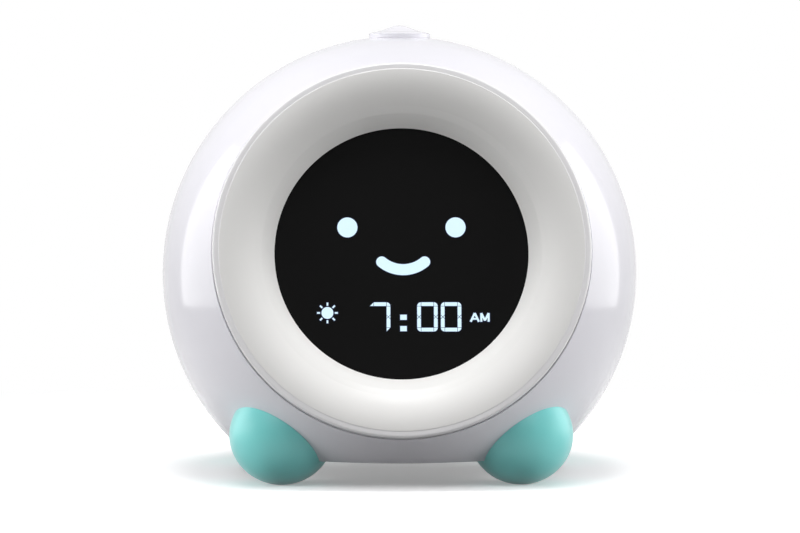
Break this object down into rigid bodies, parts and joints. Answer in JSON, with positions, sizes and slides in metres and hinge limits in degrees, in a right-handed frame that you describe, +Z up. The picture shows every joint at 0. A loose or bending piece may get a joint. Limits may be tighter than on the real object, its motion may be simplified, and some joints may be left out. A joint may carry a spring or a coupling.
{
  "type": "round alarm clock with night light",
  "caption": "Ball-shaped alarm clock with a lit face ring, a round black window with time and a smile, a top button, rear keys and ball feet.",
  "frame": {"origin": "on the table, below the middle of the clock's width and depth", "axes": "+Z up, the face looks along -Y and leans back, +X to the right as the face is seen"},
  "size_m": [0.12, 0.1066, 0.1133],
  "materials": {
    "shell_gloss": "milky white glossy plastic with a faint lavender tint",
    "ring_satin": "warm white plastic, glossy rim and softly polished slope",
    "window": "black smoked window",
    "lit": "pale blue-white lit marks",
    "lcd": "dark liquid-crystal glass",
    "inner_plastic": "white moulded plastic",
    "circuit_board": "green circuit board",
    "light_board": "white circuit board",
    "lamp": "lamp with a yellow filling",
    "electronics": "dark moulded parts",
    "flex": "amber flexible film",
    "steel": "zinc-plated steel",
    "panel_plastic": "fine-grained white plastic",
    "box_plastic": "black moulded plastic",
    "key_teal": "teal satin key caps",
    "plunger": "red switch pins",
    "foot_teal": "teal satin soft-touch plastic",
    "wire": "insulated wire"
  },
  "bodies": {
    "housing": {"front_shell": "shell_gloss", "rear_shell": "shell_gloss", "face_ring": "ring_satin", "display_lens": "window", "display_segments": "lit", "lcd_glass": "lcd", "lcd_holder": "inner_plastic", "backlight_guide": "inner_plastic", "backlight_strip": "circuit_board", "lcd_flex": "flex", "main_board": "circuit_board", "board_parts": "electronics", "night_light_board": "light_board", "night_light_leds": "lamp", "small_screws": "steel", "shell_screws": "steel", "panel_screws": "steel", "base_screws": "steel", "foot_screws": "steel", "control_panel": "panel_plastic", "key_board": "circuit_board", "key_switches": "electronics", "power_socket": "steel", "speaker_frame": "steel", "speaker_magnet": "electronics", "speaker_cone": "electronics", "speaker_gasket": "electronics", "button_switch": "electronics", "button_board": "circuit_board", "base_plate": "panel_plastic", "battery_box": "box_plastic", "battery_contacts": "steel", "battery_springs": "steel", "battery_cells": "electronics", "foot_front_left": "foot_teal", "foot_front_right": "foot_teal", "foot_rear_left": "foot_teal", "foot_rear_right": "foot_teal", "battery_leads": "wire", "speaker_leads": "wire", "key_ribbon": "flex", "light_leads": "wire", "button_leads": "wire"},
    "button": {"top_button": "shell_gloss", "button_plunger": "electronics"},
    "door": {"battery_door": "panel_plastic", "door_screw": "steel"},
    "key_alarm_body": {"key_alarm": "key_teal", "plunger_alarm": "plunger"},
    "key_clock_body": {"key_clock": "key_teal", "plunger_clock": "plunger"},
    "key_up_body": {"key_up": "key_teal", "plunger_up": "plunger"},
    "key_down_body": {"key_down": "key_teal", "plunger_down": "plunger"},
    "key_sound_body": {"key_sound": "key_teal", "plunger_sound": "plunger"},
    "key_nap_body": {"key_nap": "key_teal", "plunger_nap": "plunger"}
  },
  "joints": [
    {"name": "button_press", "type": "slide", "parent": "housing", "child": "button", "axis": [0, 0, -1], "range_m": [0, 0.001], "stiffness_N_per_m": 1500, "springref_m": -0.0004},
    {"name": "alarm_press", "type": "slide", "parent": "housing", "child": "key_alarm_body", "axis": [0, -0.9799, 0.1994], "range_m": [0, 0.0005], "stiffness_N_per_m": 2500, "springref_m": -0.0002},
    {"name": "clock_press", "type": "slide", "parent": "housing", "child": "key_clock_body", "axis": [0, -0.9799, 0.1994], "range_m": [0, 0.0005], "stiffness_N_per_m": 2500, "springref_m": -0.0002},
    {"name": "up_press", "type": "slide", "parent": "housing", "child": "key_up_body", "axis": [0, -0.9799, 0.1994], "range_m": [0, 0.0005], "stiffness_N_per_m": 2500, "springref_m": -0.0002},
    {"name": "down_press", "type": "slide", "parent": "housing", "child": "key_down_body", "axis": [0, -0.9799, 0.1994], "range_m": [0, 0.0005], "stiffness_N_per_m": 2500, "springref_m": -0.0002},
    {"name": "sound_press", "type": "slide", "parent": "housing", "child": "key_sound_body", "axis": [0, -0.9799, 0.1994], "range_m": [0, 0.0005], "stiffness_N_per_m": 2500, "springref_m": -0.0002},
    {"name": "nap_press", "type": "slide", "parent": "housing", "child": "key_nap_body", "axis": [0, -0.9799, 0.1994], "range_m": [0, 0.0005], "stiffness_N_per_m": 2500, "springref_m": -0.0002},
    {"name": "door_drop", "type": "slide", "parent": "housing", "child": "door", "axis": [0, 0, -1], "range_m": [0, 0.005]}
  ]
}
